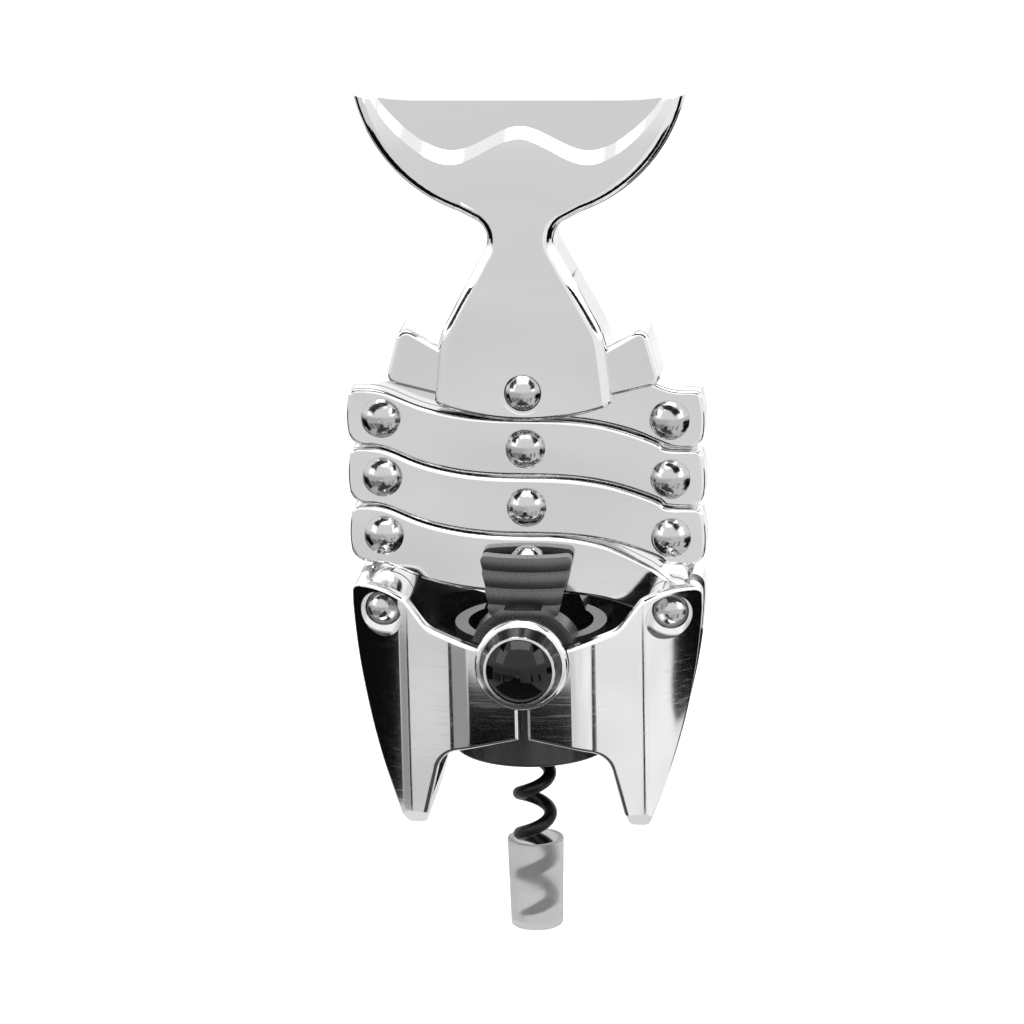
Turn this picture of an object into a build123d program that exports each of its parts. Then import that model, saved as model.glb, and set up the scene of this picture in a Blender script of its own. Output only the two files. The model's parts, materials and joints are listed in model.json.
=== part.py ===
from build123d import *
import os
from math import copysign, pi, sin

# Lazy-tongs corkscrew in the shape of a fish, standing on its worm, tail up.
# The origin is the centre of the bottle seat inside the bell. +Z runs up the worm to the tail,
# the front is -Y, and depths below are distances from the middle plane towards the front.

# Linkage in the X-Z plane
half_span = 30.5
arm_drop = 6.4
jaw_drop = 8.5
eye_height = 9.0
jaw_swing = 45.0

# Arms
arm_thickness = 4.0
arm_height = 12.4
arm_overhang = 7.4
arm_end_bow = 0.9
arm_crown_radius = 1.6
arm_heel_radius = 3.6
arm_edge_radius = 0.8
lower_eye_radius = 4.9
layer_gap = 0.2
arm_bend_power = 2.65
arm_bend_shares = (0.2, 0.4, 0.6, 0.8)
arm_shoulder_share = 0.93
arm_level_share = 1.1

# Rivets
shank_radius = 2.0
head_radius = 4.2
cheek_head_radius = 3.9
head_height = 2.7
head_lip = 0.5
pivot_clearance = 0.05
rivet_play = 0.05

# Cheeks, the forked walls that hold arms in the tail and the jaws
cheek_gap = 0.3
cheek_wall = 2.5
jaw_cheek_wall = 3.5
counterbore_margin = 0.8

# Tail
tail_rise = 62.7
fluke_half = 34.5
fluke_straight_half = 21.0
fluke_dip = 1.6
fluke_depth = 5.4
waist_half = 5.3
waist_rise = 34.4
waist_radius = 4.5
shoulder_half = 17.3
shoulder_rise = 12.3
shoulder_radius = 14.0
body_half = 18.9
body_corner_drop = 2.6
body_drop = 6.2
body_depth = 7.5
body_straight_rise = 14.0
body_swell_share = 0.75
tail_edge_radius = 2.2
tail_heel_radius = 1.2
tail_slot_rise = 8.0
tail_slot_half = 8.0
tail_slot_side_rise = 2.6
fluke_bow_shares = ((0.757, 0.750), (0.374, 0.612))
fin_half = 29.2
fin_top_half = 25.8
fin_top_rise = 14.2
fin_low_rise = 1.7
fin_root_half = 12.0
fin_depth = 6.0
fin_corner_radius = 2.2
fin_edge_radius = 1.1
web_depth = 2.3
web_bevel_share = 0.52
web_wave_shares = ((0.0, 0.888), (0.40, 0.807), (0.68, 0.876), (0.90, 1.03))

# Jaws, in heights from the eye axis
jaw_depth = 20.4
jaw_overhang = 6.7
jaw_break_half = 13.0
jaw_break_radius = 17.0
jaw_facet_width = 11.8
jaw_facet_bow = 0.5
jaw_crease_depth = 16.4
jaw_crease_radius = 9.0
jaw_side_depth = 5.2
jaw_wall = 2.6
jaw_shoulder_rise = 9.5
jaw_crown_rise = 14.4
jaw_crown_width = 12.6
jaw_crown_drop = 1.6
jaw_bow_inset = 2.9
jaw_bow_drop = 11.5
jaw_tip_half = 25.6
jaw_tip_width = 3.8
jaw_tip_drop = 37.9
jaw_tip_bevel = 3.8
jaw_tip_floor = 7.0
jaw_arch_half = 17.6
jaw_arch_drop = 20.3
jaw_slit = 1.7
jaw_slit_drop = 16.8
jaw_brow_inset = 4.6
jaw_brow_rise = 6.9
jaw_root_rise = 0.5
jaw_arch_radius = 6.0
jaw_corner_radius = 2.4
jaw_tip_radius = 1.3
jaw_edge_radius = 0.8
jaw_boss_radius = 5.6
jaw_slot_gap = 0.5

# Eye pivots
pin_radius = 3.5
pin_length = 6.0
lug_radius = 8.8
lug_thickness = 1.2
lug_gap = 0.2
lug_inset = 0.6
bezel_margin = 0.2
bezel_radius = 9.9
bezel_height = 5.2
bezel_flange = 1.1
bezel_rim = 0.7
bezel_step = 0.7
dome_radius = 6.8
dome_sink = 1.0
dome_height = 4.0

# Bottle bell
bell_inner = 15.0
bell_wall = 2.0
bell_depth = 15.0
bell_rim_outer = 16.2
bell_rim_wall = 2.8
bell_rim_rise = 12.6
bell_floor = 6.0
bell_neck_rise = 2.0
bell_lip_radius = 0.7
guide_clearance = 0.4
boss_radius = 11.5
tongue_top_half = 10.0
tongue_root_half = 6.85
tongue_rise = 20.2
tongue_root_rise = 7.5
tongue_foot_rise = 2.0
tongue_top_depth = 10.2
tongue_root_depth = 16.6
tongue_wall = 2.8
tongue_ribs = 4
tongue_corner_radius = 1.2
tongue_axis_depth = 14.0

# Worm, its yoke and the tip sleeve
worm_radius = 4.75
wire_radius = 1.4
worm_pitch = 9.2
worm_tip_drop = 54.6
worm_taper_turns = 0.55
taper_steps = 5
tip_share = 0.12
tang_thickness = 3.0
tang_radius = 5.0
tang_half = 3.2
tang_length = 20.0
tang_clearance = 0.2
collar_radius = 4.4
collar_height = 6.0
sleeve_length = 19.6
sleeve_top_radius = 6.1
sleeve_low_radius = 5.6
sleeve_floor = 1.2
sleeve_clearance = 0.1
sleeve_lip_radius = 0.3

# Room left for cuts to pass right through
overrun = 60.0
# Faces that lean less than this towards front or back are sides
skin_lean = 0.3

arm_half = arm_height / 2
arm_face = layer_gap / 2 + arm_thickness
cheek_inner = arm_face + cheek_gap
cheek_seat = cheek_inner + cheek_wall
jaw_seat = cheek_inner + jaw_cheek_wall
pivot_bore = shank_radius + pivot_clearance
lug_face = jaw_depth - lug_inset
lug_middle = lug_face - lug_thickness - lug_gap / 2
boss_face = lug_face - 2 * lug_thickness - 2 * lug_gap
bezel_seat = lug_face + lug_gap
bezel_top = bezel_seat + bezel_height
guide_radius = sleeve_top_radius + guide_clearance
jaw_half = half_span + jaw_overhang
jaw_crease_half = jaw_half - jaw_facet_width

jaw_pivot = eye_height + jaw_drop
worm_pivot = jaw_pivot + jaw_drop
side_lower = worm_pivot + arm_drop
centre_middle = side_lower + arm_drop
side_middle = centre_middle + arm_drop
centre_upper = side_middle + arm_drop
side_upper = centre_upper + arm_drop
tail_pivot = side_upper + arm_drop
worm_top = worm_pivot - tang_length - collar_height


def slab(face, back, front):
    """Stand an X-Z outline up between two depths, the larger one nearer the front."""
    return extrude(Plane.XZ.offset(back) * face, front - back)


def bar(radius, x, z, back, front):
    """Round bar along Y at (x, z) between two depths."""
    return slab(Pos(x, z) * Circle(radius), back, front)


def bored(solid, radius, *places):
    """Cut pivot bores right through at each (x, z) place."""
    for x, z in places:
        solid -= bar(radius, x, z, -overrun, overrun)
    return solid


def turned(solid):
    """The same piece half a turn round the upright axis, on the other side of the tool."""
    return Rot(0, 0, 180) * solid


def cap_arc(radius, foot, top):
    """Half of a round cap's profile, from its rim at the foot to the axis at the top."""
    height = top - foot
    ball = (radius**2 + height**2) / (2 * height)
    middle = top - ball + (ball**2 - radius**2 / 4) ** (1 / 2)
    return ThreePointArc((radius, foot), (radius / 2, middle), (0, top))


def rim_edges(solid):
    """Edges round a casting's front and back skins, without the seams between the skins' own faces."""
    skins = solid.faces().filter_by(lambda f: abs(f.normal_at().Y) > skin_lean)
    edges = [edge for face in skins for edge in face.edges()]
    return ShapeList(edge for edge in edges if sum(edge.is_same(other) for other in edges) == 1)


def ease(share):
    """Smooth step from 0 to 1 that is level at both ends."""
    return share - sin(2 * pi * share) / (2 * pi)


def arm_half_edge(side, way, drop, tip, square):
    """Points of an arm's upper (side 1) or lower (side -1) edge, from the middle out to one end.

    The midline's drop grows as a power of the distance from the middle and levels off at the end."""
    reaches = [*arm_bend_shares, arm_shoulder_share, arm_level_share] if square else [*arm_bend_shares, 1]
    shares = [reach**arm_bend_power for reach in reaches[:-1]] + [1]
    points = []
    for reach, share in zip(reaches, shares):
        half = arm_half + (tip - arm_half) * share
        points.append((way * half_span * reach, side * half - way * drop * share))
    return points


def arm_edge(side, drops, tips, square_ends):
    """Points of an arm's whole upper or lower edge, from its left end, or from the middle of a half arm."""
    left = [] if drops[0] is None else arm_half_edge(side, -1, drops[0], tips[0], square_ends[0])
    return [*reversed(left), (0, side * arm_half), *arm_half_edge(side, 1, drops[1], tips[1], square_ends[1])]


def arm_end(upper, lower, square):
    """Edges that close an arm between the ends of its two edges, square with a bow or round."""
    x = upper[0]
    way = copysign(1, x) if x else -1
    middle = (upper[1] + lower[1]) / 2
    half = (upper[1] - lower[1]) / 2
    if not square:
        return ThreePointArc(upper, (x + way * half, middle), lower)
    tip = way * (half_span + arm_overhang)
    corner = tip - way * arm_end_bow
    bow = ThreePointArc((corner, upper[1]), (tip, middle), (corner, lower[1]))
    return Line(upper, (corner, upper[1])) + bow + Line((corner, lower[1]), lower)


def arm(height, drops, tips, square_ends):
    """One S-shaped arm of the front family, its middle pivot at the given height.

    Its midline leaves the middle pivot level, bends down to the right by one drop per half span
    and arrives level again, so that each arm nests under the one above when the tongs are shut."""
    upper = arm_edge(1, drops, tips, square_ends)
    lower = arm_edge(-1, drops, tips, square_ends)
    outline = Curve()
    for side, points in ((1, upper), (-1, lower)):
        fall = 0 if square_ends[1] else arm_bend_power * (side * (tips[1] - arm_half) - drops[1]) / half_span
        outline += Spline(points, tangents=((1, 0), (1, fall)))
    outline += arm_end(upper[0], lower[0], square_ends[0])
    outline += arm_end(upper[-1], lower[-1], square_ends[1])
    solid = slab(make_face(outline.edges()), layer_gap / 2, arm_face)
    for way, square in zip((-1, 1), square_ends):
        if square:
            solid = fillet(end_corners(solid, way)[-1], arm_crown_radius)
            solid = fillet(end_corners(solid, way)[0], arm_heel_radius)
    solid = fillet(solid.faces().sort_by(Axis.Y)[0].edges(), arm_edge_radius)
    return bored(Pos(0, 0, height) * solid, pivot_bore, *pivot_places(height, drops))


def end_corners(solid, way):
    """Corner edges of an arm's square end on the left (way -1) or right (way 1), lowest first."""
    reach = half_span + arm_overhang - 2 * arm_end_bow
    return solid.edges().filter_by(Axis.Y).filter_by(lambda e: e.center().X * way > reach).sort_by(Axis.Z)


def pivot_places(height, drops):
    """Places of an arm's bores: its middle pivot and the end or ends that it reaches."""
    places = [(0, height), (half_span, height - drops[1])]
    if drops[0] is not None:
        places.append((-half_span, height + drops[0]))
    return places


def tang_pocket():
    """Room in the lower arm's inner face for the yoke's tang as the arm turns on it."""
    depth = tang_thickness / 2 + tang_clearance
    half = tang_half + tang_clearance
    neck = Pos(0, -overrun / 2) * Rectangle(2 * half, overrun)
    fan = make_hull((neck + Rot(0, 0, jaw_swing) * neck).edges())
    return slab(Pos(0, worm_pivot) * (fan + Circle(tang_radius + tang_clearance)), 0, depth)


def front_arms():
    """The four front arms, from the half arm under the tail down to the bent lower one."""
    even = (arm_drop, arm_drop)
    full = (arm_half, arm_half)
    lower = arm(worm_pivot, (arm_drop, jaw_drop), (arm_half, lower_eye_radius), (True, False))
    return {
        "top": arm(tail_pivot, (None, arm_drop), full, (False, True)),
        "upper": arm(centre_upper, even, full, (True, True)),
        "middle": arm(centre_middle, even, full, (True, True)),
        "lower": lower - tang_pocket(),
    }


def rivet(x, z, seat, radius):
    """Dome rivet along Y at (x, z), its heads seated at the given depth front and back."""
    grip = seat + rivet_play
    head = Polyline((0, grip + head_height), (0, 0), (shank_radius, 0), (shank_radius, grip))
    head += Polyline((shank_radius, grip), (radius, grip), (radius, grip + head_lip))
    head += cap_arc(radius, grip + head_lip, grip + head_height)
    half = revolve(make_face(head.edges()), Axis.Y)
    return Pos(x, 0, z) * (half + mirror(half, Plane.XZ))


def tail_outline():
    """Fluke, waist and body of the tail as one X-Z outline, both halves."""
    bow, root = ((fluke_half * x, tail_rise * z) for x, z in fluke_bow_shares)
    tip = (fluke_half, tail_rise)
    corner = (body_half, -body_corner_drop)
    shoulder = (shoulder_half, shoulder_rise)
    top = tail_rise - fluke_dip
    side = ThreePointArc(tip, bow, root) + Polyline(root, (waist_half, waist_rise), shoulder, corner)
    side += TangentArc((fluke_straight_half, top), tip, tangent=(1, 0))
    edges = side + mirror(side, Plane.YZ) + Line((fluke_straight_half, top), (-fluke_straight_half, top))
    edges += ThreePointArc(corner, (0, -body_drop), (-body_half, -body_corner_drop))
    face = make_face(edges.edges())
    waist = face.vertices().filter_by(lambda v: abs(abs(v.X) - waist_half) < pivot_clearance)
    face = fillet(waist, waist_radius)
    shoulders = face.vertices().filter_by(lambda v: abs(v.Y - shoulder_rise) < pivot_clearance)
    return fillet(shoulders, shoulder_radius)


def web_recess():
    """Cutter for the sunk web of the fluke: a wavy front edge that bevels down to a flat floor."""
    wave = [(fluke_half * x, tail_rise * z) for x, z in web_wave_shares]
    wave = [(-x, z) for x, z in reversed(wave[1:])] + wave
    high = 2 * tail_rise
    sections = []
    for depth in (web_depth, body_depth):
        fall = (depth - web_depth) * web_bevel_share
        edge = Spline([(x, z - fall) for x, z in wave])
        ends = (edge @ 0, edge @ 1)
        frame = Polyline(ends[0], (ends[0].X, high), (ends[1].X, high), ends[1])
        sections.append(Plane.XZ.offset(depth) * make_face((edge + frame).edges()))
    return loft(sections, ruled=True)


def tail():
    """Tail casting: a tapering fluke over a waist and a body that forks round the two half arms."""
    solid = slab(tail_outline(), -body_depth, body_depth)
    swell = fluke_depth + (body_depth - fluke_depth) * body_swell_share
    spine = ThreePointArc(
        (body_depth, body_straight_rise),
        (swell, (body_straight_rise + tail_rise) / 2),
        (fluke_depth, tail_rise),
    )
    low = -2 * body_drop
    spine += Polyline((fluke_depth, tail_rise), (0, tail_rise), (0, low), (body_depth, low))
    spine += Line((body_depth, low), (body_depth, body_straight_rise))
    side = extrude(Plane.YZ * make_face(spine.edges()), overrun, both=True)
    solid &= side + mirror(side, Plane.XZ)
    low_rims = rim_edges(solid).filter_by(lambda e: e.center().Z < tail_rise - 2 * fluke_dip)
    solid = fillet(low_rims.filter_by(lambda e: abs(e.center().X) > waist_half), tail_edge_radius)
    heel = rim_edges(solid).filter_by(lambda e: e.center().Z < -body_corner_drop)
    solid = fillet(heel.filter_by(lambda e: abs(e.center().X) < waist_half), tail_heel_radius)
    recess = web_recess()
    solid -= [recess, mirror(recess, Plane.XZ)]
    solid += fins()
    solid -= slab(tail_slot(), -cheek_inner, cheek_inner)
    return cheeked(Pos(0, 0, tail_pivot) * solid, 0, tail_pivot, cheek_seat)


def tail_slot():
    """Outline of the room for the half arms: highest over the pivot, its roof falling to the fins' ends."""
    roof = ((tail_slot_half, tail_slot_rise), (fin_half, tail_slot_side_rise))
    roof += ((overrun, tail_slot_side_rise), (overrun, -overrun))
    corners = [*roof, *((-x, z) for x, z in reversed(roof))]
    return make_face(Polyline(*corners, corners[0]).edges())


def fins():
    """The pair of side fins, thinner than the body that they grow from."""
    root_low = (fin_root_half, -body_corner_drop)
    root_top = (fin_root_half, shoulder_rise - body_drop)
    corners = (root_low, (fin_half, fin_low_rise), (fin_top_half, fin_top_rise), root_top, root_low)
    face = make_face(Polyline(*corners).edges())
    face = fillet(face.vertices().filter_by(lambda v: v.X > body_half), fin_corner_radius)
    fin = slab(face, -fin_depth, fin_depth)
    fin = fillet(fin.faces().filter_by(Axis.Y).edges(), fin_edge_radius)
    return fin + mirror(fin, Plane.YZ)


def cheeked(solid, x, z, seat):
    """Cut a rivet's bore and the counterbores for its heads, down to a depth, into a pair of cheeks."""
    solid = bored(solid, pivot_bore, (x, z))
    counterbore = bar(cheek_head_radius + counterbore_margin, x, z, seat, overrun)
    return solid - [counterbore, mirror(counterbore, Plane.XZ)]


def jaw_section(inset):
    """Plan of a jaw's right half, set in from the skin: a flat brow, a leaning panel and a bowed facet."""
    depth, crease, side = (d - inset for d in (jaw_depth, jaw_crease_depth, jaw_side_depth))
    reach = jaw_half + jaw_wall
    corner, ridge = (jaw_break_half, depth), (jaw_crease_half, crease)
    bulge = ((jaw_crease_half + reach) / 2, (crease + side) / 2 + jaw_facet_bow)
    front = Polyline((0, depth), corner, ridge) + ThreePointArc(ridge, bulge, (reach, side))
    front += Line((reach, side), (reach, 0))
    edges = front + mirror(front, Plane.XZ) + Line((0, depth), (0, -depth))
    face = make_face(edges.edges())
    for (x, y), radius in ((corner, jaw_break_radius), (ridge, jaw_crease_radius)):
        for place in ((x, y, 0), (x, -y, 0)):
            face = fillet(face.vertices().sort_by_distance(place)[0], radius)
    return face


def jaw_bow():
    """Outer edge of the right jaw, from its shoulder to its tip."""
    middle = (jaw_half - jaw_bow_inset, -jaw_bow_drop)
    return ThreePointArc((jaw_half, jaw_shoulder_rise), middle, (jaw_tip_half, -jaw_tip_drop))


def jaw_outline():
    """Front outline of the right jaw, from the eye axis: brow, crown, outer bow, claw and arch."""
    root, slit = (jaw_slit / 2, jaw_root_rise), (jaw_slit / 2, -jaw_slit_drop)
    crown = (jaw_half - jaw_crown_width, jaw_crown_rise - jaw_crown_drop)
    top = (jaw_half - jaw_crown_width / 2, jaw_crown_rise)
    shoulder = (jaw_half, jaw_crown_rise - jaw_crown_drop / 2)
    brow = (jaw_half - jaw_crown_width - jaw_brow_inset, jaw_brow_rise)
    arch = (jaw_arch_half, -jaw_arch_drop)
    tip, claw = (jaw_tip_half, -jaw_tip_drop), (jaw_tip_half - jaw_tip_width, -jaw_tip_drop)
    edges = jaw_bow() + Line((jaw_half, jaw_shoulder_rise), shoulder) + ThreePointArc(shoulder, top, crown)
    edges += Polyline(crown, brow, root, slit, arch, claw, tip)
    face = make_face(edges.edges())
    rounds = (
        (arch, jaw_arch_radius),
        (brow, jaw_arch_radius),
        (crown, jaw_corner_radius),
        (shoulder, jaw_corner_radius),
        (claw, jaw_tip_radius),
        (tip, jaw_tip_radius),
    )
    for place, radius in rounds:
        face = fillet(face.vertices().sort_by_distance((*place, 0))[0], radius)
    return face


def tip_bevel():
    """Cutter that slopes the front of a claw's tip back towards its end."""
    heel = (jaw_crease_depth, jaw_tip_bevel - jaw_tip_drop)
    toe = (jaw_crease_depth - 2 * jaw_tip_bevel, -jaw_tip_bevel - jaw_tip_drop)
    face = make_face(Polyline(heel, toe, (overrun, toe[1]), (overrun, heel[1]), heel).edges())
    cutter = extrude(Plane.YZ * face, overrun, both=True)
    return [cutter, mirror(cutter, Plane.XZ)]


def jaw():
    """Right jaw casting: a hollow cheek with a claw, pinned to the eye axis and to the front lower arm."""
    prism = extrude(jaw_section(0), overrun, both=True)
    solid = prism & slab(jaw_outline(), -overrun, overrun)
    solid = fillet(rim_edges(solid), jaw_edge_radius) - tip_bevel()
    bow = jaw_bow()
    top, tip = bow @ 0, bow @ 1
    inner = Polyline(tip, (tip.X, -overrun), (-overrun, -overrun), (-overrun, overrun), (top.X, overrun), top)
    room = slab(Pos(-jaw_wall, 0) * make_face((bow + inner).edges()), -overrun, overrun)
    solid -= room & Pos(0, 0, jaw_tip_floor - jaw_tip_drop) * extrude(jaw_section(jaw_wall), 2 * overrun)
    pivot = (half_span, jaw_drop)
    boss = bar(jaw_boss_radius, *pivot, -jaw_depth, -layer_gap)
    boss += bar(jaw_boss_radius, *pivot, cheek_inner, jaw_depth)
    solid += boss & extrude(jaw_section(jaw_wall / 2), overrun, both=True)
    foot = jaw_drop - lower_eye_radius - jaw_slot_gap
    slot = Box(overrun, cheek_inner + layer_gap, overrun, align=(Align.MIN, Align.MAX, Align.MIN))
    solid -= Pos(half_span, layer_gap, foot) * slot
    solid -= bar(boss_radius + lug_gap, 0, 0, -boss_face - lug_gap, boss_face + lug_gap)
    clear = lug_radius + 2 * lug_gap
    notch = bezel_radius + bezel_margin
    solid -= [bar(notch, 0, 0, lug_middle, overrun), bar(notch, 0, 0, -overrun, -lug_face)]
    solid -= bar(clear, 0, 0, -lug_middle, 0)
    solid += bar(lug_radius, 0, 0, boss_face + lug_gap, boss_face + lug_gap + lug_thickness)
    solid += bar(lug_radius, 0, 0, -lug_face, lug_thickness - lug_face)
    solid = bored(solid, pin_radius + pivot_clearance, (0, 0))
    return Pos(0, 0, eye_height) * cheeked(solid, *pivot, jaw_seat)


def eye_pin():
    """Front eye pin: a stub that carries both jaws and ends in the chrome bezel."""
    foot = boss_face - pin_length
    lip, floor = bezel_seat + bezel_step, bezel_top - dome_sink
    neck = (bezel_radius - bezel_flange, lip + bezel_flange)
    inner, outer = dome_radius + lug_gap, dome_radius + bezel_rim
    profile = Polyline((0, foot), (pin_radius, foot), (pin_radius, bezel_seat), (bezel_radius, bezel_seat))
    profile += Line((bezel_radius, bezel_seat), (bezel_radius, lip))
    profile += TangentArc((bezel_radius, lip), neck, tangent=(0, 1))
    profile += Polyline(neck, (outer, bezel_top), (inner, bezel_top), (inner, floor), (0, floor), (0, foot))
    return Pos(0, 0, eye_height) * mirror(revolve(make_face(profile.edges()), Axis.Y), Plane.XZ)


def eye_dome():
    """Glossy dome that fills the front bezel."""
    floor = bezel_top - dome_sink
    foot, top = bezel_top, floor + dome_height
    profile = cap_arc(dome_radius, foot, top)
    profile += Polyline((0, top), (0, floor), (dome_radius, floor), (dome_radius, foot))
    return Pos(0, 0, eye_height) * mirror(revolve(make_face(profile.edges()), Axis.Y), Plane.XZ)


def tongue():
    """Front thumb tongue: a stepped ramp, rounded across, that widens upwards from the eye axis."""
    rise = (tongue_rise - tongue_root_rise) / tongue_ribs
    run = (tongue_root_depth - tongue_top_depth) / tongue_ribs
    steps = [(tongue_top_depth - tongue_wall, tongue_rise), (tongue_top_depth, tongue_rise)]
    for rib in range(tongue_ribs):
        depth = tongue_top_depth + run * rib
        foot = tongue_rise - rise * (rib + 1)
        steps += [(depth, foot), (depth + run, foot)]
    steps += [(tongue_root_depth, tongue_foot_rise), (bell_rim_outer - bell_rim_wall, tongue_foot_rise)]
    ramp = make_face(Polyline(*steps, steps[0]).edges())
    solid = mirror(revolve(Plane.YZ * ramp, Axis((0, -tongue_axis_depth, 0), (0, 0, 1))), Plane.XZ)
    root, top = tongue_root_half, tongue_top_half
    sides = ((-top, tongue_rise), (top, tongue_rise), (root, tongue_root_rise), (root, tongue_foot_rise))
    sides += ((-root, tongue_foot_rise), (-root, tongue_root_rise), (-top, tongue_rise))
    face = make_face(Polyline(*sides).edges())
    face = fillet(face.vertices().filter_by(lambda v: v.Y > tongue_root_rise + rise), tongue_corner_radius)
    return Pos(0, 0, eye_height) * (solid & slab(face, 0, overrun))


def bell():
    """Plastic bell that sits on the bottle: a cup under the seat, a guide for the worm and two tongues."""
    outer = bell_inner + bell_wall
    profile = Polyline(
        (0, 0), (bell_inner, 0), (bell_inner, -bell_depth), (outer, -bell_depth), (outer, 0),
        (bell_rim_outer, bell_neck_rise), (bell_rim_outer, bell_rim_rise), (0, bell_rim_rise), (0, 0),
    )
    solid = revolve(Plane.XZ * make_face(profile.edges()), Axis.Z)
    boss = bar(boss_radius, 0, eye_height, 0, boss_face)
    solid += [boss, mirror(boss, Plane.XZ)]
    cup = Cylinder(bell_inner, bell_depth, align=(Align.CENTER, Align.CENTER, Align.MAX))
    recess = Cylinder(bell_rim_outer - bell_rim_wall, overrun, align=(Align.CENTER, Align.CENTER, Align.MIN))
    solid -= [cup, Pos(0, 0, bell_floor) * recess]
    solid += [tongue(), turned(tongue())]
    solid -= Cylinder(guide_radius, overrun)
    sockets = bar(pin_radius + pivot_clearance, 0, eye_height, boss_face - pin_length, overrun)
    solid -= [sockets, mirror(sockets, Plane.XZ)]
    lips = solid.edges().filter_by(GeomType.CIRCLE).group_by(Axis.Z)[0]
    return fillet(lips, bell_lip_radius)


def yoke():
    """Steel yoke: a flat tang pinned between the lower arms over a round collar for the worm."""
    eye = Pos(0, worm_pivot) * Circle(tang_radius)
    neck = Pos(0, worm_pivot - tang_length / 2) * Rectangle(2 * tang_half, tang_length)
    solid = bored(slab(eye + neck, -tang_thickness / 2, tang_thickness / 2), pivot_bore, (0, worm_pivot))
    hanging = (Align.CENTER, Align.CENTER, Align.MAX)
    return solid + Pos(0, 0, worm_pivot - tang_length) * Cylinder(collar_radius, collar_height, align=hanging)


def worm():
    """Right-handed helical worm with a drawn-out point, cut level where it meets the yoke."""
    coil = worm_radius - wire_radius
    taper_rise = worm_taper_turns * worm_pitch
    start = taper_rise - worm_tip_drop
    path = Helix(worm_pitch, worm_top + worm_pitch / 2 - start, coil, center=(0, 0, start))
    section = Plane(path @ 0, z_dir=path % 0) * Circle(wire_radius)
    solid = sweep(section, path=path, is_frenet=True)
    point = Helix(worm_pitch, taper_rise, coil, center=(0, 0, -worm_tip_drop))
    point = Rot(0, 0, -360 * worm_taper_turns) * point
    rings = []
    for step in range(taper_steps + 1):
        share = step / taper_steps
        ring = wire_radius * (tip_share + (1 - tip_share) * ease(share) ** (1 / 2))
        rings.append(Plane(point @ share, z_dir=point % share) * Circle(ring))
    solid += loft(rings)
    roof = Box(overrun, overrun, overrun, align=(Align.CENTER, Align.CENTER, Align.MIN))
    return solid - Pos(0, 0, worm_top) * roof


def sleeve():
    """Clear tapered cap that covers the point of the worm."""
    low = -worm_tip_drop - wire_radius * tip_share - sleeve_clearance - sleeve_floor
    high = low + sleeve_length
    bore = worm_radius + sleeve_clearance
    profile = Polyline(
        (0, low), (sleeve_low_radius, low), (sleeve_top_radius, high), (bore, high),
        (bore, low + sleeve_floor), (0, low + sleeve_floor), (0, low),
    )
    solid = revolve(Plane.XZ * make_face(profile.edges()), Axis.Z)
    return fillet(solid.edges().filter_by(GeomType.CIRCLE), sleeve_lip_radius)


def rivets():
    """Every rivet by name: down the middle, down both sides and one in each jaw."""
    pieces = {
        "rivet_tail": rivet(0, tail_pivot, cheek_seat, cheek_head_radius),
        "rivet_centre_upper": rivet(0, centre_upper, arm_face, head_radius),
        "rivet_centre_middle": rivet(0, centre_middle, arm_face, head_radius),
        "rivet_worm": rivet(0, worm_pivot, arm_face, head_radius),
    }
    for side, x in (("left", -half_span), ("right", half_span)):
        for row, z in (("upper", side_upper), ("middle", side_middle), ("lower", side_lower)):
            pieces[f"rivet_{side}_{row}"] = rivet(x, z, arm_face, head_radius)
        pieces[f"rivet_jaw_{side}"] = rivet(x, jaw_pivot, jaw_seat, cheek_head_radius)
    return pieces


def assembly():
    """All pieces by node name, where they lie with the tongs shut."""
    right_jaw, pin, dome = jaw(), eye_pin(), eye_dome()
    pieces = {
        "tail_handle": tail(),
        "jaw_right": right_jaw,
        "jaw_left": turned(right_jaw),
        "bottle_bell": bell(),
        "eye_pin_front": pin,
        "eye_pin_back": turned(pin),
        "eye_dome_front": dome,
        "eye_dome_back": turned(dome),
        "worm_yoke": yoke(),
        "worm": worm(),
        "worm_sleeve": sleeve(),
    }
    for row, piece in front_arms().items():
        pieces[f"arm_front_{row}"] = piece
        pieces[f"arm_back_{row}"] = turned(piece)
    return pieces | rivets()


os.makedirs("parts", exist_ok=True)
for name, piece in assembly().items():
    export_step(piece, f"parts/{name}.step")
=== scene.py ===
"""Looks of a fish-shaped lazy-tongs corkscrew: plated castings, dark bell, coated worm and frosted sleeve."""
import json

import bpy
import numpy as np
from mathutils import Matrix, Vector


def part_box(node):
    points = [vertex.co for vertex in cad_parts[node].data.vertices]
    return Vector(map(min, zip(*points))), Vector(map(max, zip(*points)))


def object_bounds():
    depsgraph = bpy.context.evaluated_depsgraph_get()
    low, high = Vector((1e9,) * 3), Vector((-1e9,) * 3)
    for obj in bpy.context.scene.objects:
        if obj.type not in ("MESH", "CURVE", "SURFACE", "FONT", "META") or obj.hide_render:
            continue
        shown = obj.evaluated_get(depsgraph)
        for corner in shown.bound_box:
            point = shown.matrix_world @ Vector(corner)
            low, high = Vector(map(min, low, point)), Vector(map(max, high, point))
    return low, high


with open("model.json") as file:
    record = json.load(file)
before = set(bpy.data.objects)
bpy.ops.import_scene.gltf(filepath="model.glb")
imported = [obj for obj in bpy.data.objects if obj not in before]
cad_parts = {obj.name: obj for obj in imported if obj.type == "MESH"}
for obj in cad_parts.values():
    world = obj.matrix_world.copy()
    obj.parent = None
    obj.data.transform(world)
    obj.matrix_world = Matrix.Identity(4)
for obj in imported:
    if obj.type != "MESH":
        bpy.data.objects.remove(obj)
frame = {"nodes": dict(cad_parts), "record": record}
cad_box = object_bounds()

MM = 0.001

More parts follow.
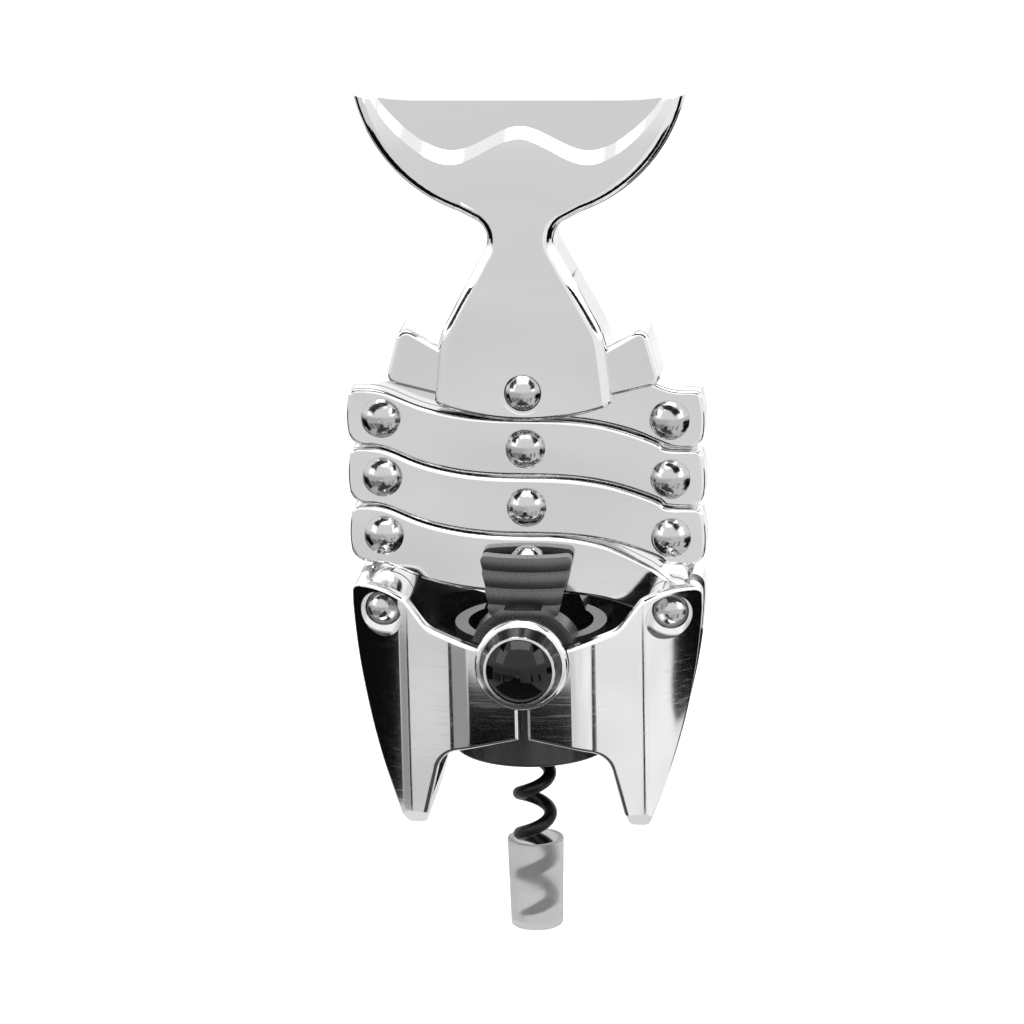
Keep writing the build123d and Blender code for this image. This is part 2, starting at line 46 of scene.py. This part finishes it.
# Camera: direction from the object in degrees, then the framing
VIEW_AZIMUTH = 6.5
VIEW_ELEVATION = 15.8
VIEW_ROLL = -1.25
VIEW_DISTANCE = 1.0
VIEW_AIM = Vector((0, 0, 38 * MM))
VIEW_OFFSET = (-3.55 * MM, -1.43 * MM)
PIXEL_SIZE = 0.212 * MM
FRAME_PIXELS = 1024
SENSOR_WIDTH = 36.0

# Eye ring: the flange and the lip that the black enamel leaves bare
FLANGE_WIDTH = 1.15 * MM
RIM_LIP = 0.15 * MM

# Thumb tongue: its ribs' spacing, how many stand clear of the eye's boss and get a painted highlight and
# shade, and, as shares of a rib, the painted highlight on its edge, the stretch over which it darkens to
# painted shade in the groove, and the fade below the last one
RIB_PITCH = 3.175 * MM
LIT_AND_SHADED_RIBS = 3
RIB_HIGHLIGHT_SHARE = 0.04
GROOVE_SHADE_SHARES = (0.15, 0.82)
PAINTED_LIGHT_FADE_SHARE = 0.4

# Studio: gaps and reach in metres, radiances relative to white
FLOOR_GAP = 26 * MM
FLOOR_HALF = 4.0
CARD_GAP = 0.8 * MM
# Paper: what the camera sees beyond its lamp light, then how it glows in reflections from left to right,
# where that rise begins and ends, and the size and reach of its soft unevenness
PAPER_LIFT = 0.74
PAPER_GLOW = (0.8, 1.04)
PAPER_GLOW_SPAN = (10 * MM, 90 * MM)
PAPER_CLOUD = 45 * MM
PAPER_UNEVEN = (0.86, 1.08)
# Sky: its glow at the horizon and overhead, how far up the change reaches, and its strength as a lamp
SKY_LOW = 1.0
SKY_TOP = 1.32
SKY_BAND = 0.08
SKY_FILL = 0.32
# Soft lamps: name, place and aim in metres, width, height and radiance
LAMPS = (
    ("overhead_box", (0, -0.35, 1.0), (0, 0, 0.05), 0.9, 0.7, 3.0),
    ("left_box", (-0.9, -0.6, 0.5), (0, 0, 0.04), 0.5, 0.7, 1.6),
    ("right_box", (0.9, -0.6, 0.5), (0, 0, 0.04), 0.5, 0.7, 1.6),
)
CARD_SHADES = {"black": 0.004, "charcoal": 0.08, "grey": 0.34}
# Cards that only the plating mirrors, each an outline in millimetres from the worm's axis
CARDS = (
    ("under_card", "charcoal", ((-70, -20), (45, -20), (45, -95), (1, -120), (-52, -120), (-70, -105))),
    ("brow_card", "black", ((1, -121), (1, -150), (-5, -208), (-62, -208), (-48, -155), (-52, -121))),
    ("left_side_card", "black", ((-115, -40), (-115, 20), (-700, 100), (-640, -200))),
    ("right_side_card", "black", (
        (178, -25), (183, -56), (167, -64), (182, -73), (208, -81), (226, -87), (266, -102), (640, -245),
        (700, 62), (178, 25))),
    ("left_line_card", "black", ((-69, -91), (-76, -85), (-176, -200), (-164, -208))),
    ("right_line_card", "black", ((48, -101), (115, -238), (128, -232), (58, -97))),
    ("left_grey_card", "grey", ((-44, -140), (-92, -118), (-160, -205), (-86, -258))),
    ("left_crease_card", "black", (
        (-86, -77), (-91, -71), (-128, -100), (-169, -132), (-208, -163), (-198, -177), (-161, -144),
        (-122, -109))),
    ("left_strip_card", "grey", (
        (-92, -70), (-110, -44), (-156, -60), (-206, -78), (-254, -94), (-210, -160), (-170, -130),
        (-130, -98))),
    ("right_crease_card", "black", (
        (81, -80), (113, -114), (148, -152), (182, -188), (198, -173), (161, -140), (123, -105), (88, -74))),
    ("left_fluke_flag", "black", (
        (-90, -85), (-65, -57), (-47, -41), (-32, -30), (-21, -24), (-15, -21), (-15, -9), (-32, -10),
        (-48, -12), (-69, -17), (-100, -25))),
    ("right_fluke_flag", "black", (
        (69, -93), (51, -62), (37, -43), (25, -31), (15, -25), (12, -22), (12, -10), (28, -13), (41, -16),
        (60, -23), (86, -37))),
)
# The flags hang beside the fluke and the rest lie level with the sleeve's foot; the floor is lower,
# with room to draw the sleeve off. Each card is turned half a turn for the back, but for the one under
# the rivets, which is only in front
FLAG_HEIGHT = 88 * MM
CARD_TURNS = (("front", 1), ("back", -1))
FRONT_ONLY = ("under_card",)


def linear(hex_colour):
    """Turn an sRGB hex colour into the linear RGBA that shader sockets take."""
    channels = [int(hex_colour[start:start + 2], 16) / 255 for start in (1, 3, 5)]
    return [c / 12.92 if c <= 0.04045 else ((c + 0.055) / 1.055) ** 2.4 for c in channels] + [1.0]


def add(tree, kind, inputs=None, **settings):
    """Add one node, set its properties, and set or link its inputs by socket name or number."""
    node = tree.nodes.new(kind)
    for name, value in settings.items():
        setattr(node, name, value)
    for socket, value in (inputs or {}).items():
        if isinstance(value, bpy.types.NodeSocket):
            tree.links.new(value, node.inputs[socket])
        else:
            node.inputs[socket].default_value = value
    return node


def new_material(name):
    """An empty node material, its tree and its output node."""
    material = bpy.data.materials.new(name)
    material.use_nodes = True
    material.node_tree.nodes.clear()
    return material, material.node_tree, add(material.node_tree, "ShaderNodeOutputMaterial")


def plating(tree):
    """Chrome over a polished zinc die casting: a mirror with the casting's faint ripple under it.

    The eye gets reflections with soft edges that wobble a little on the flats, and hairline rubbing marks."""
    place = add(tree, "ShaderNodeTexCoord").outputs["Object"]
    ripple = add(tree, "ShaderNodeTexNoise", {"Vector": place, "Scale": 1 / (9 * MM), "Detail": 1.0})
    rubbed = add(tree, "ShaderNodeMapping", {
        "Vector": place, "Rotation": (0, 0.35, 0), "Scale": (1 / (14 * MM), 1 / (3 * MM), 1 / (0.35 * MM))})
    hairline = add(tree, "ShaderNodeTexNoise", {"Vector": rubbed.outputs[0], "Scale": 1.0, "Detail": 3.0})
    rough = add(tree, "ShaderNodeMapRange", {
        "Value": hairline.outputs["Fac"], "From Min": 0.52, "From Max": 0.72,
        "To Min": 0.085, "To Max": 0.14})
    wave = add(tree, "ShaderNodeBump", {
        "Height": ripple.outputs["Fac"], "Strength": 1.0, "Distance": 0.03 * MM})
    lines = add(tree, "ShaderNodeBump", {
        "Height": hairline.outputs["Fac"], "Strength": 0.5, "Distance": 0.0008 * MM,
        "Normal": wave.outputs[0]})
    metal = add(tree, "ShaderNodeBsdfPrincipled", {
        "Base Color": linear("#e7e7e8"), "Metallic": 1.0, "Roughness": rough.outputs[0],
        "Normal": lines.outputs[0]})
    return metal.outputs[0]


def plated_zinc():
    """The castings' plating by itself."""
    material, tree, output = new_material("plated_zinc")
    tree.links.new(plating(tree), output.inputs["Surface"])
    return material


def filled_bezel():
    """The eye's plated ring with black stove enamel run into the slope between its flange and its rim."""
    material, tree, output = new_material("filled_bezel")
    low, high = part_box("eye_pin_front")
    middle = (0, 0, (low[2] + high[2]) / 2)
    place = add(tree, "ShaderNodeTexCoord").outputs["Object"]
    apart = add(tree, "ShaderNodeVectorMath", {0: place, 1: middle}, operation="SUBTRACT")
    across = add(tree, "ShaderNodeVectorMath", {0: apart.outputs[0], 1: (1, 0, 1)}, operation="MULTIPLY")
    radius = add(tree, "ShaderNodeVectorMath", {0: across.outputs[0]}, operation="LENGTH")
    inward = add(tree, "ShaderNodeVectorMath", {0: place, 1: (0, 1, 0)}, operation="DOT_PRODUCT")
    depth = add(tree, "ShaderNodeMath", {0: inward.outputs["Value"]}, operation="ABSOLUTE")
    inside = add(tree, "ShaderNodeMath", {
        0: radius.outputs["Value"], 1: high[0] - FLANGE_WIDTH}, operation="LESS_THAN")
    below = add(tree, "ShaderNodeMath", {0: depth.outputs[0], 1: -low[1] - RIM_LIP}, operation="LESS_THAN")
    filled = add(tree, "ShaderNodeMath", {0: inside.outputs[0], 1: below.outputs[0]}, operation="MULTIPLY")
    grit = add(tree, "ShaderNodeTexNoise", {"Vector": place, "Scale": 1 / (0.8 * MM), "Detail": 3.0})
    rough = add(tree, "ShaderNodeMapRange", {"Value": grit.outputs["Fac"], "To Min": 0.12, "To Max": 0.26})
    enamel = add(tree, "ShaderNodeBsdfPrincipled", {
        "Base Color": linear("#0d0d0e"), "Roughness": rough.outputs[0], "IOR": 1.5})
    both = add(tree, "ShaderNodeMixShader", {0: filled.outputs[0], 1: plating(tree), 2: enamel.outputs[0]})
    tree.links.new(both.outputs[0], output.inputs["Surface"])
    return material


def nickel_steel():
    """Cold-headed steel rivets, barrel nickelled: darker than the castings, with blurred reflections.

    Tumbling in the barrel leaves a fine orange peel that breaks up the highlight on each head."""
    material, tree, output = new_material("nickel_steel")
    place = add(tree, "ShaderNodeTexCoord").outputs["Object"]
    peel = add(tree, "ShaderNodeTexNoise", {"Vector": place, "Scale": 1 / (1.1 * MM), "Detail": 2.0})
    rough = add(tree, "ShaderNodeMapRange", {
        "Value": peel.outputs["Fac"], "From Min": 0.35, "From Max": 0.7, "To Min": 0.10, "To Max": 0.22})
    bump = add(tree, "ShaderNodeBump", {
        "Height": peel.outputs["Fac"], "Strength": 0.8, "Distance": 0.05 * MM})
    metal = add(tree, "ShaderNodeBsdfPrincipled", {
        "Base Color": linear("#b6b6b7"), "Metallic": 1.0, "Roughness": rough.outputs[0],
        "Normal": bump.outputs[0]})
    tree.links.new(metal.outputs[0], output.inputs["Surface"])
    return material


def satin_steel():
    """Blanked steel strip, tumbled to a satin: soft reflections with a fine cross grain."""
    material, tree, output = new_material("satin_steel")
    place = add(tree, "ShaderNodeTexCoord").outputs["Object"]
    grain = add(tree, "ShaderNodeTexNoise", {"Vector": place, "Scale": 1 / (0.4 * MM), "Detail": 4.0})
    rough = add(tree, "ShaderNodeMapRange", {
        "Value": grain.outputs["Fac"], "To Min": 0.24, "To Max": 0.42})
    bump = add(tree, "ShaderNodeBump", {
        "Height": grain.outputs["Fac"], "Strength": 0.4, "Distance": 0.004 * MM})
    metal = add(tree, "ShaderNodeBsdfPrincipled", {
        "Base Color": linear("#c4c4c5"), "Metallic": 1.0, "Roughness": rough.outputs[0],
        "Normal": bump.outputs[0]})
    tree.links.new(metal.outputs[0], output.inputs["Surface"])
    return material


def moulded_nylon():
    """Dark grey glass-filled nylon, moulded in a finely eroded tool: a satin skin with a fine grain.

    On the thumb tongues, each rib's edge gets a painted highlight, and painted shade darkens the groove under
    it."""
    material, tree, output = new_material("moulded_nylon")
    place = add(tree, "ShaderNodeTexCoord").outputs["Object"]
    grain = add(tree, "ShaderNodeTexNoise", {"Vector": place, "Scale": 1 / (0.45 * MM), "Detail": 3.0})
    cloud = add(tree, "ShaderNodeTexNoise", {"Vector": place, "Scale": 1 / (7 * MM), "Detail": 2.0})
    tint = add(tree, "ShaderNodeMix", {
        "Factor": cloud.outputs["Fac"], "A": linear("#2f2f31"), "B": linear("#3e3e40")}, data_type="RGBA")
    height = add(tree, "ShaderNodeSeparateXYZ", {0: place}).outputs["Z"]
    down = add(tree, "ShaderNodeMath", {0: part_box("bottle_bell")[1][2], 1: height}, operation="SUBTRACT")
    ribs = add(tree, "ShaderNodeMath", {0: down.outputs[0], 1: RIB_PITCH}, operation="DIVIDE")
    shifted = add(tree, "ShaderNodeMath", {0: ribs.outputs[0], 1: RIB_HIGHLIGHT_SHARE}, operation="ADD")
    along = add(tree, "ShaderNodeMath", {0: shifted.outputs[0]}, operation="FRACT")
    # Painted light on the ribs: a share running from each rib's painted-highlight edge down to the painted
    # shade in its groove
    groove_shade = add(tree, "ShaderNodeMapRange", {
        "Value": along.outputs[0], "From Min": GROOVE_SHADE_SHARES[0], "From Max": GROOVE_SHADE_SHARES[1]},
        interpolation_type="SMOOTHSTEP")
    on_tongue = add(tree, "ShaderNodeMapRange", {
        "Value": ribs.outputs[0], "From Min": LIT_AND_SHADED_RIBS, "From Max": LIT_AND_SHADED_RIBS + PAINTED_LIGHT_FADE_SHARE,
        "To Min": 1.0, "To Max": 0.0})
    # Painted highlight on each rib's edge, darkening to painted shade in the groove under it
    rib_highlight_and_shade = add(tree, "ShaderNodeMix", {
        "Factor": groove_shade.outputs[0], "A": linear("#707073"), "B": linear("#0f0f10")}, data_type="RGBA")
    colour = add(tree, "ShaderNodeMix", {
        "Factor": on_tongue.outputs[0], "A": tint.outputs["Result"], "B": rib_highlight_and_shade.outputs["Result"]},
        data_type="RGBA")
    rough = add(tree, "ShaderNodeMapRange", {
        "Value": grain.outputs["Fac"], "To Min": 0.20, "To Max": 0.34})
    bump = add(tree, "ShaderNodeBump", {
        "Height": grain.outputs["Fac"], "Strength": 0.5, "Distance": 0.008 * MM})
    plastic = add(tree, "ShaderNodeBsdfPrincipled", {
        "Base Color": colour.outputs["Result"], "Roughness": rough.outputs[0], "IOR": 1.53,
        "Normal": bump.outputs[0]})
    tree.links.new(plastic.outputs[0], output.inputs["Surface"])
    return material


def black_acrylic():
    """Moulded acrylic eye, black through and glossy: sharp reflections over a deep dark body."""
    material, tree, output = new_material("black_acrylic")
    place = add(tree, "ShaderNodeTexCoord").outputs["Object"]
    dust = add(tree, "ShaderNodeTexNoise", {"Vector": place, "Scale": 1 / (0.5 * MM), "Detail": 4.0})
    rough = add(tree, "ShaderNodeMapRange", {
        "Value": dust.outputs["Fac"], "From Min": 0.5, "From Max": 0.8, "To Min": 0.03, "To Max": 0.10})
    gloss = add(tree, "ShaderNodeBsdfPrincipled", {
        "Base Color": linear("#0b0b0c"), "Roughness": rough.outputs[0], "IOR": 1.49,
        "Specular IOR Level": 0.35})
    tree.links.new(gloss.outputs[0], output.inputs["Surface"])
    return material


def coated_wire():
    """Spring steel wire with a baked black PTFE coat: dark, slippery and slightly speckled."""
    material, tree, output = new_material("coated_wire")
    place = add(tree, "ShaderNodeTexCoord").outputs["Object"]
    speckle = add(tree, "ShaderNodeTexNoise", {"Vector": place, "Scale": 1 / (0.6 * MM), "Detail": 5.0})
    tint = add(tree, "ShaderNodeMix", {
        "Factor": speckle.outputs["Fac"], "A": linear("#0a0a0a"), "B": linear("#1d1d1e")}, data_type="RGBA")
    rough = add(tree, "ShaderNodeMapRange", {
        "Value": speckle.outputs["Fac"], "To Min": 0.22, "To Max": 0.5})
    bump = add(tree, "ShaderNodeBump", {
        "Height": speckle.outputs["Fac"], "Strength": 0.6, "Distance": 0.03 * MM})
    coat = add(tree, "ShaderNodeBsdfPrincipled", {
        "Base Color": tint.outputs["Result"], "Roughness": rough.outputs[0], "IOR": 1.38,
        "Normal": bump.outputs[0]})
    tree.links.new(coat.outputs[0], output.inputs["Surface"])
    return material


def frosted_vinyl():
    """Soft clear PVC tube, matt from its mould: pale, cloudy and half see-through."""
    material, tree, output = new_material("frosted_vinyl")
    place = add(tree, "ShaderNodeTexCoord").outputs["Object"]
    haze = add(tree, "ShaderNodeTexNoise", {"Vector": place, "Scale": 1 / (2.5 * MM), "Detail": 3.0})
    rough = add(tree, "ShaderNodeMapRange", {
        "Value": haze.outputs["Fac"], "To Min": 0.26, "To Max": 0.40})
    vinyl = add(tree, "ShaderNodeBsdfPrincipled", {
        "Base Color": linear("#f4f5f6"), "Roughness": rough.outputs[0], "IOR": 1.40,
        "Transmission Weight": 0.85})
    tree.links.new(vinyl.outputs[0], output.inputs["Surface"])
    return material


def paint_nodes():
    """Give every node the finish of its slot in the record, but rivets and eye rings their own."""
    finishes = {
        "chrome": plated_zinc(), "steel": satin_steel(), "bell_plastic": moulded_nylon(),
        "eye_black": black_acrylic(), "worm_coat": coated_wire(), "sleeve_plastic": frosted_vinyl(),
    }
    own = {"rivet": nickel_steel(), "eye_pin": filled_bezel()}
    for part in frame["record"]["subparts"]:
        finish = finishes[part["material_slot"]]
        for kind, better in own.items():
            if part["node"].startswith(kind):
                finish = better
        mesh = frame["nodes"][part["node"]].data
        mesh.materials.clear()
        mesh.materials.append(finish)


def sheet_object(name, corners, material):
    """A flat sheet of the studio, its corners given in order round its edge."""
    mesh = bpy.data.meshes.new(name)
    mesh.from_pydata([tuple(c) for c in corners], [], [tuple(range(len(corners)))])
    mesh.materials.append(material)
    sheet = bpy.data.objects.new(name, mesh)
    bpy.context.scene.collection.objects.link(sheet)
    return sheet


def studio_paper():
    """White paper: lit paper with the object's shadow for the camera, and its own glow in reflections.

    That glow grows a little towards the right, where the window side of the room would be, and is softly
    uneven, which gives the flat panels their gentle shading."""
    material, tree, output = new_material("studio_paper")
    path = add(tree, "ShaderNodeLightPath")
    mirrored = add(tree, "ShaderNodeMath", {
        0: path.outputs["Is Glossy Ray"], 1: path.outputs["Is Transmission Ray"]}, operation="MAXIMUM")
    paper = add(tree, "ShaderNodeBsdfDiffuse", {"Color": linear("#f4f4f4")})
    lift = add(tree, "ShaderNodeEmission", {"Strength": PAPER_LIFT})
    lifted = add(tree, "ShaderNodeMixShader", {0: path.outputs["Is Camera Ray"]})
    both = add(tree, "ShaderNodeAddShader", {0: paper.outputs[0], 1: lift.outputs[0]})
    tree.links.new(paper.outputs[0], lifted.inputs[1])
    tree.links.new(both.outputs[0], lifted.inputs[2])
    place = add(tree, "ShaderNodeTexCoord").outputs["Object"]
    across = add(tree, "ShaderNodeSeparateXYZ", {0: place}).outputs["X"]
    glow = add(tree, "ShaderNodeMapRange", {
        "Value": across, "From Min": PAPER_GLOW_SPAN[0], "From Max": PAPER_GLOW_SPAN[1],
        "To Min": PAPER_GLOW[0], "To Max": PAPER_GLOW[1]})
    cloud = add(tree, "ShaderNodeTexNoise", {"Vector": place, "Scale": 1 / PAPER_CLOUD, "Detail": 1.0})
    uneven = add(tree, "ShaderNodeMapRange", {
        "Value": cloud.outputs["Fac"], "From Min": 0.3, "From Max": 0.7,
        "To Min": PAPER_UNEVEN[0], "To Max": PAPER_UNEVEN[1]})
    level = add(tree, "ShaderNodeMath", {0: glow.outputs[0], 1: uneven.outputs[0]}, operation="MULTIPLY")
    white = add(tree, "ShaderNodeEmission", {"Strength": level.outputs[0]})
    mix = add(tree, "ShaderNodeMixShader", {
        0: mirrored.outputs[0], 1: lifted.outputs[0], 2: white.outputs[0]})
    tree.links.new(mix.outputs[0], output.inputs["Surface"])
    return material


def card_stock(name, radiance):
    """Studio card that shows one even shade in the plating's reflections."""
    material, tree, output = new_material(name)
    shade = add(tree, "ShaderNodeEmission", {"Strength": radiance})
    tree.links.new(shade.outputs[0], output.inputs["Surface"])
    return material


def reflected_only(sheet):
    """Keep a card out of sight and out of the light, so that only mirrors see it."""
    sheet.visible_camera = False
    sheet.visible_diffuse = False
    sheet.visible_shadow = False
    sheet.visible_transmission = False
    sheet.visible_volume_scatter = False


def softbox(name, place, aim, width, height, radiance):
    """An area lamp of even radiance that faces the aim."""
    lamp = bpy.data.lights.new(name, "AREA")
    lamp.shape = "RECTANGLE"
    lamp.size, lamp.size_y = width, height
    lamp.energy = radiance * np.pi * width * height
    box = bpy.data.objects.new(name, lamp)
    box.location = place
    box.rotation_euler = (Vector(aim) - Vector(place)).to_track_quat("-Z", "Y").to_euler()
    bpy.context.scene.collection.objects.link(box)


def sky():
    """White sky, brighter overhead where the plating's upper edges look, softer as a lamp."""
    world = bpy.data.worlds.new("studio_sky")
    bpy.context.scene.world = world
    world.use_nodes = True
    tree = world.node_tree
    tree.nodes.clear()
    path = add(tree, "ShaderNodeLightPath")
    seen = add(tree, "ShaderNodeMath", {
        0: path.outputs["Is Camera Ray"], 1: path.outputs["Is Glossy Ray"]}, operation="MAXIMUM")
    seen = add(tree, "ShaderNodeMath", {
        0: seen.outputs[0], 1: path.outputs["Is Transmission Ray"]}, operation="MAXIMUM")
    upward = add(tree, "ShaderNodeSeparateXYZ", {0: add(tree, "ShaderNodeTexCoord").outputs["Generated"]})
    glow = add(tree, "ShaderNodeMapRange", {
        "Value": upward.outputs["Z"], "From Min": 0.0, "From Max": SKY_BAND,
        "To Min": SKY_LOW, "To Max": SKY_TOP})
    white = (1, 1, 1, 1)
    fill = add(tree, "ShaderNodeBackground", {"Color": white, "Strength": SKY_FILL})
    bright = add(tree, "ShaderNodeBackground", {"Color": white, "Strength": glow.outputs[0]})
    mix = add(tree, "ShaderNodeMixShader", {0: seen.outputs[0], 1: fill.outputs[0], 2: bright.outputs[0]})
    output = add(tree, "ShaderNodeOutputWorld")
    tree.links.new(mix.outputs[0], output.inputs["Surface"])


def studio():
    """White paper floor under the sky, cards that shape the reflections, and soft lamps."""
    sky()
    floor = cad_box[0][2] - FLOOR_GAP
    reach = FLOOR_HALF
    corners = ((-reach, -reach), (reach, -reach), (reach, reach), (-reach, reach))
    sheet_object("floor", [(x, y, floor) for x, y in corners], studio_paper())
    stocks = {shade: card_stock(f"{shade}_card", radiance) for shade, radiance in CARD_SHADES.items()}
    for name, shade, outline in CARDS:
        level = FLAG_HEIGHT if name.endswith("flag") else cad_box[0][2] + CARD_GAP
        turns = CARD_TURNS[:1] if name in FRONT_ONLY else CARD_TURNS
        for face, way in turns:
            corners = [(way * x * MM, way * y * MM, level) for x, y in outline]
            reflected_only(sheet_object(f"{face}_{name}", corners, stocks[shade]))
    for lamp in LAMPS:
        softbox(*lamp)


def camera():
    """Long lens at the photograph's angle, with its slight lean."""
    azimuth, elevation, roll = np.radians((VIEW_AZIMUTH, VIEW_ELEVATION, VIEW_ROLL))
    ahead = Vector((
        -np.sin(azimuth) * np.cos(elevation), np.cos(azimuth) * np.cos(elevation), -np.sin(elevation)))
    level = Vector((np.cos(azimuth), np.sin(azimuth), 0))
    upright = level.cross(ahead)
    right = level * np.cos(roll) + upright * np.sin(roll)
    up = upright * np.cos(roll) - level * np.sin(roll)
    eye = VIEW_AIM + right * VIEW_OFFSET[0] + up * VIEW_OFFSET[1] - ahead * VIEW_DISTANCE
    lens = bpy.data.cameras.new("camera")
    lens.sensor_width = SENSOR_WIDTH
    lens.lens = SENSOR_WIDTH * VIEW_DISTANCE / (FRAME_PIXELS * PIXEL_SIZE)
    body = bpy.data.objects.new("camera", lens)
    body.matrix_world = Matrix((
        (right.x, up.x, -ahead.x, eye.x), (right.y, up.y, -ahead.y, eye.y),
        (right.z, up.z, -ahead.z, eye.z), (0, 0, 0, 1)))
    bpy.context.scene.collection.objects.link(body)
    bpy.context.scene.camera = body


paint_nodes()
studio()
camera()
bpy.context.scene.view_settings.view_transform = "Standard"
